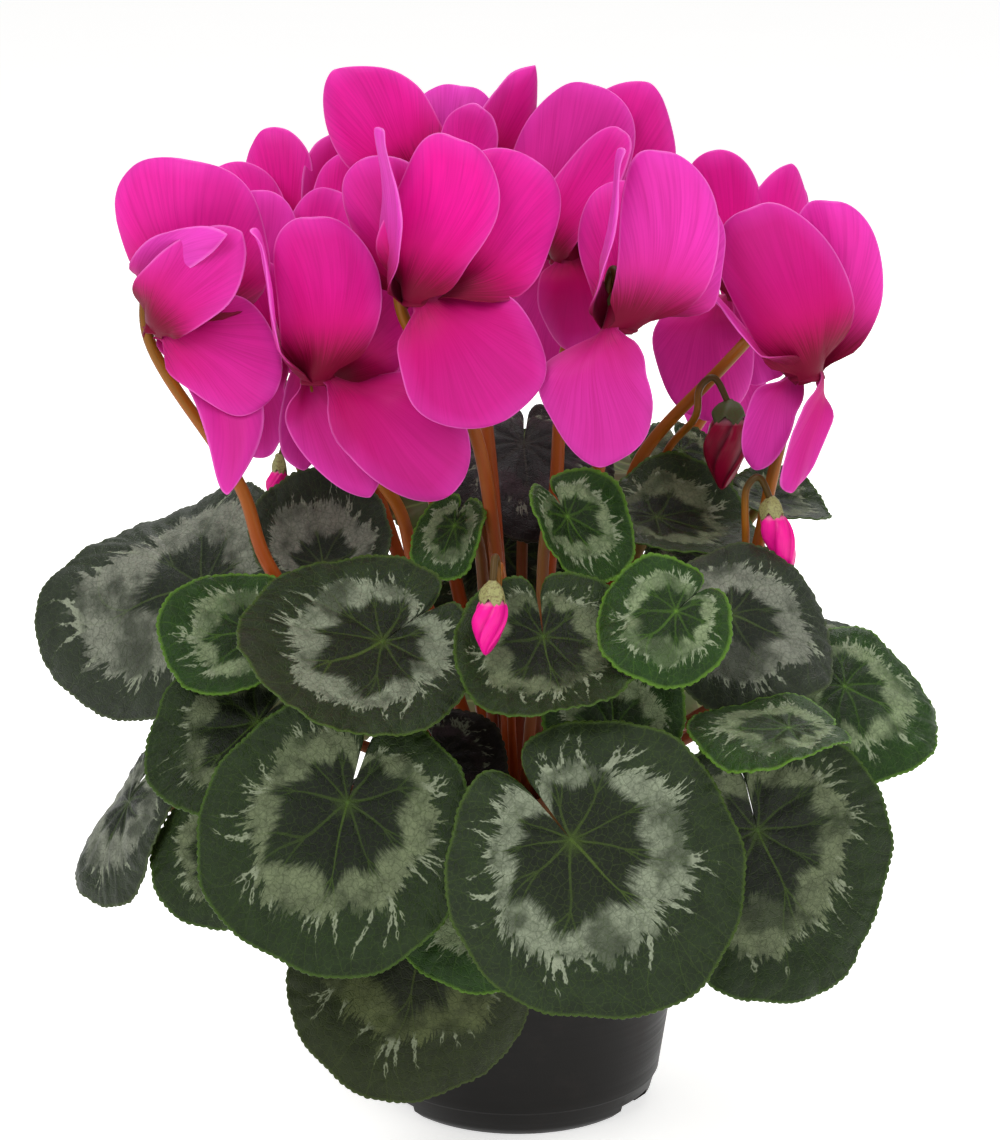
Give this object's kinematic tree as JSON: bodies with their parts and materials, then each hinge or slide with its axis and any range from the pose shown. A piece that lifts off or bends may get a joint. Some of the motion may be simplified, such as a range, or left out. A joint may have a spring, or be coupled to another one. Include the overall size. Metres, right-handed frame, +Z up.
{
  "type": "potted cyclamen",
  "caption": "Flowering cyclamen in a round nursery pot: heart-shaped silver-banded leaves under nodding blooms with swept-back magenta petals.",
  "frame": {"origin": "middle of the pot's foot, on the face that rests on the table", "axes": "+Z up along the pot's axis, -Y towards the plant's front as pictured, +X to the right seen from the front"},
  "size_m": [0.292, 0.2603, 0.3437],
  "materials": {
    "pot": "satin moulded black plastic",
    "soil": "moist crumbly peat",
    "stem": "smooth living stem, red-brown to olive",
    "leaf": "satin living leaf with a silver band",
    "petal": "velvety living petal",
    "bud": "smooth furled petals"
  },
  "bodies": {
    "root": {"pot": "pot", "soil": "soil", "tuber_with_stems": "stem", "leaf_01": "leaf", "leaf_02": "leaf", "leaf_03": "leaf", "leaf_04": "leaf", "leaf_05": "leaf", "leaf_06": "leaf", "leaf_07": "leaf", "leaf_08": "leaf", "leaf_09": "leaf", "leaf_10": "leaf", "leaf_11": "leaf", "leaf_12": "leaf", "leaf_13": "leaf", "leaf_14": "leaf", "leaf_15": "leaf", "leaf_16": "leaf", "leaf_17": "leaf", "leaf_18": "leaf", "leaf_19": "leaf", "leaf_20": "leaf", "leaf_21": "leaf", "leaf_22": "leaf", "leaf_23": "leaf", "leaf_24": "leaf", "leaf_25": "leaf", "leaf_26": "leaf", "leaf_27": "leaf", "leaf_28": "leaf", "leaf_29": "leaf", "leaf_30": "leaf", "leaf_31": "leaf", "leaf_32": "leaf", "leaf_33": "leaf", "leaf_34": "leaf", "leaf_35": "leaf", "leaf_36": "leaf", "bloom_01": "petal", "bloom_02": "petal", "bloom_03": "petal", "bloom_04": "petal", "bloom_05": "petal", "bloom_06": "petal", "bloom_07": "petal", "bloom_08": "petal", "bloom_09": "petal", "bloom_10": "petal", "bloom_11": "petal", "bloom_12": "petal", "bloom_13": "petal", "bud_01": "bud", "bud_02": "bud", "bud_03": "bud", "bud_04": "bud"}
  },
  "joints": []
}
